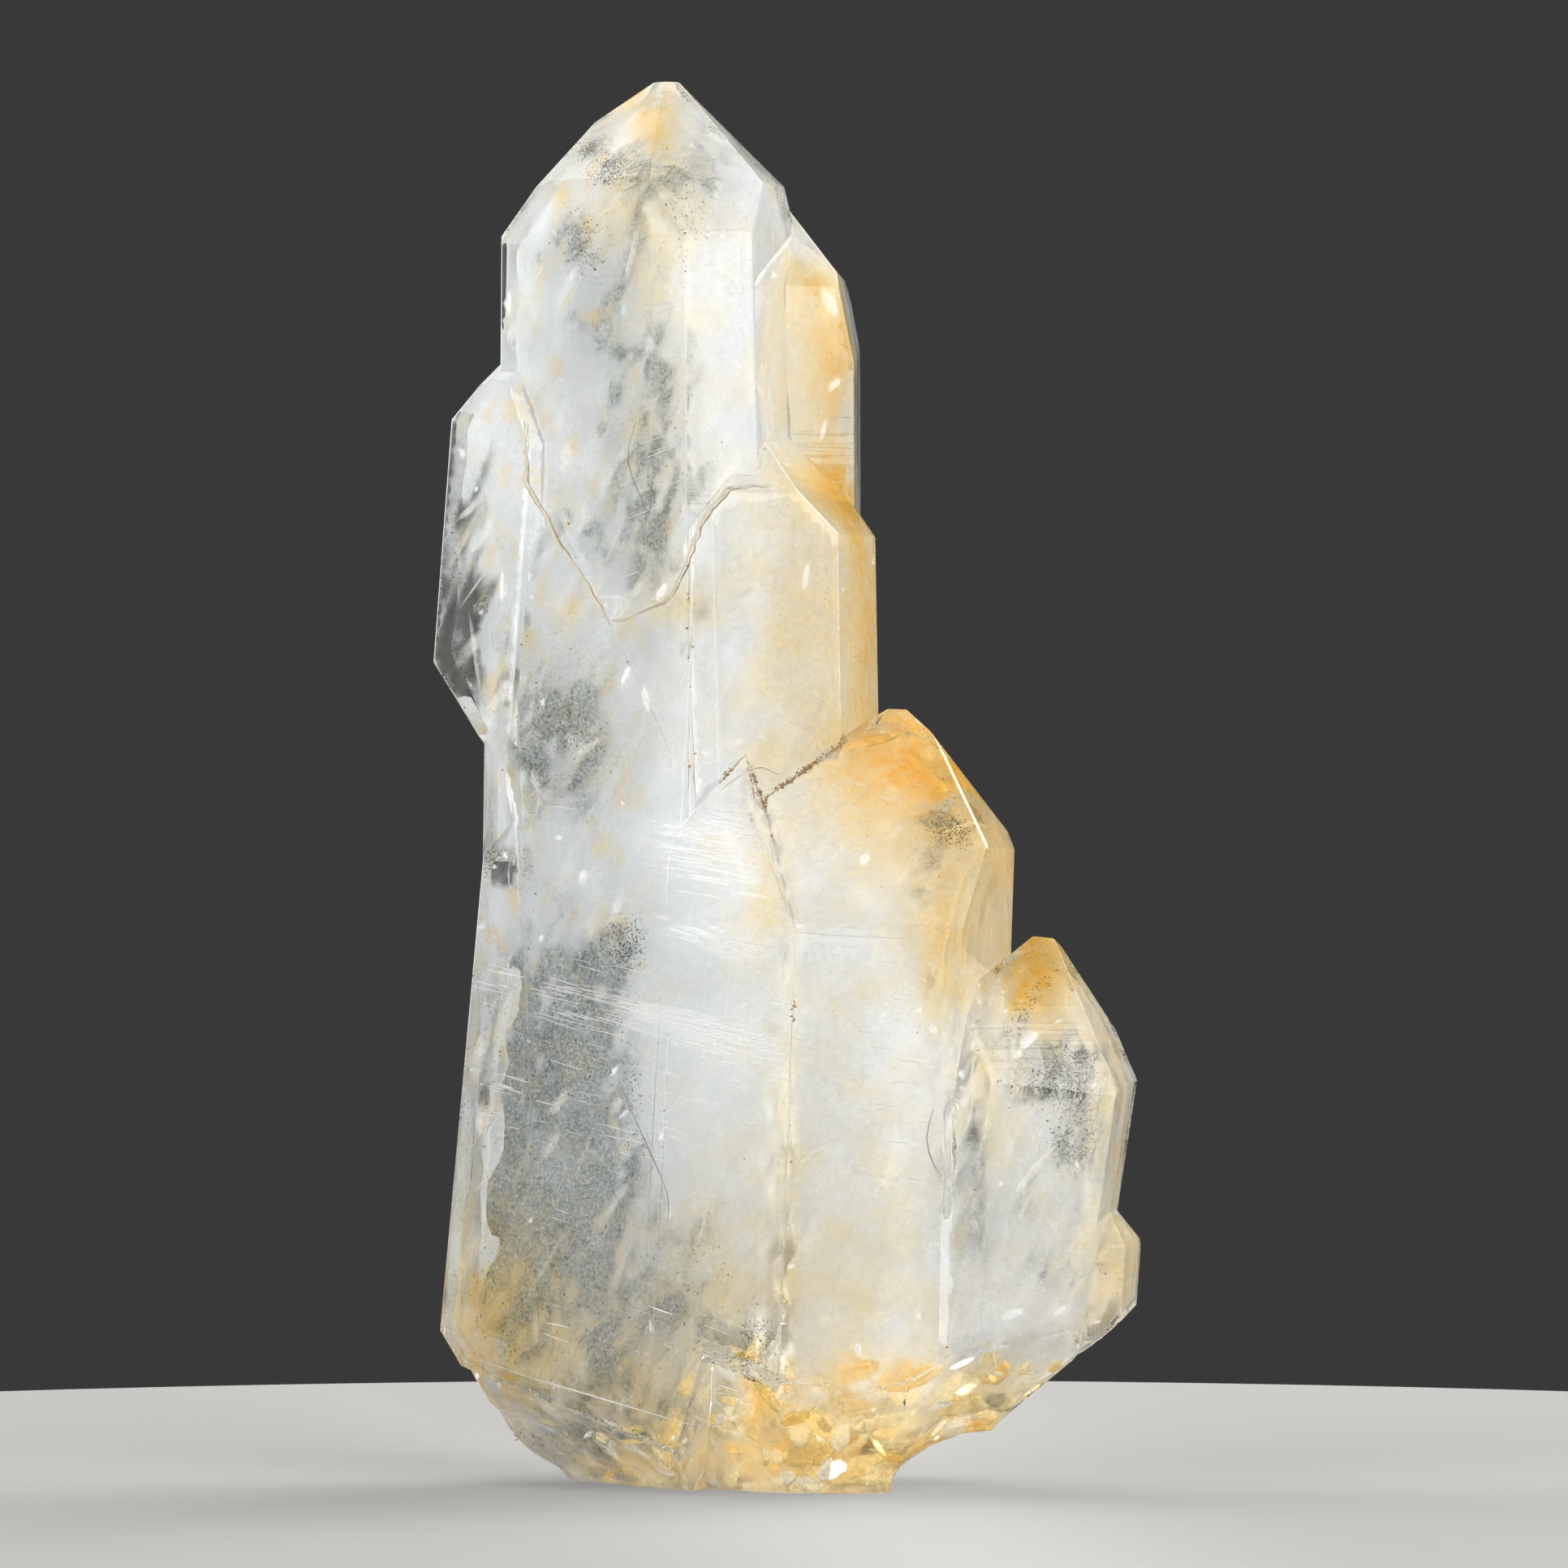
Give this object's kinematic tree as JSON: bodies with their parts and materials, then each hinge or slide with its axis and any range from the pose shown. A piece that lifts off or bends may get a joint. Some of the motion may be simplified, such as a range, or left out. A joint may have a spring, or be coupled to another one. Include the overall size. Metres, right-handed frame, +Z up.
{
  "type": "quartz crystal cluster",
  "caption": "Natural quartz crystal cluster of intergrown hexagonal points, clear to milky with honey tints, standing on a flat cut at its broken end.",
  "frame": {"origin": "middle of the bounding box at the bottom, on the flat cut", "axes": "+Z up along the crystals, +X to the right and +Y away from the viewer as seen in the picture"},
  "size_m": [0.0602, 0.045, 0.1197],
  "materials": {
    "quartz": "glassy faces, clear to milky, honey-stained at the right and at the broken end"
  },
  "bodies": {
    "root": {"quartz_cluster": "quartz"}
  },
  "joints": []
}
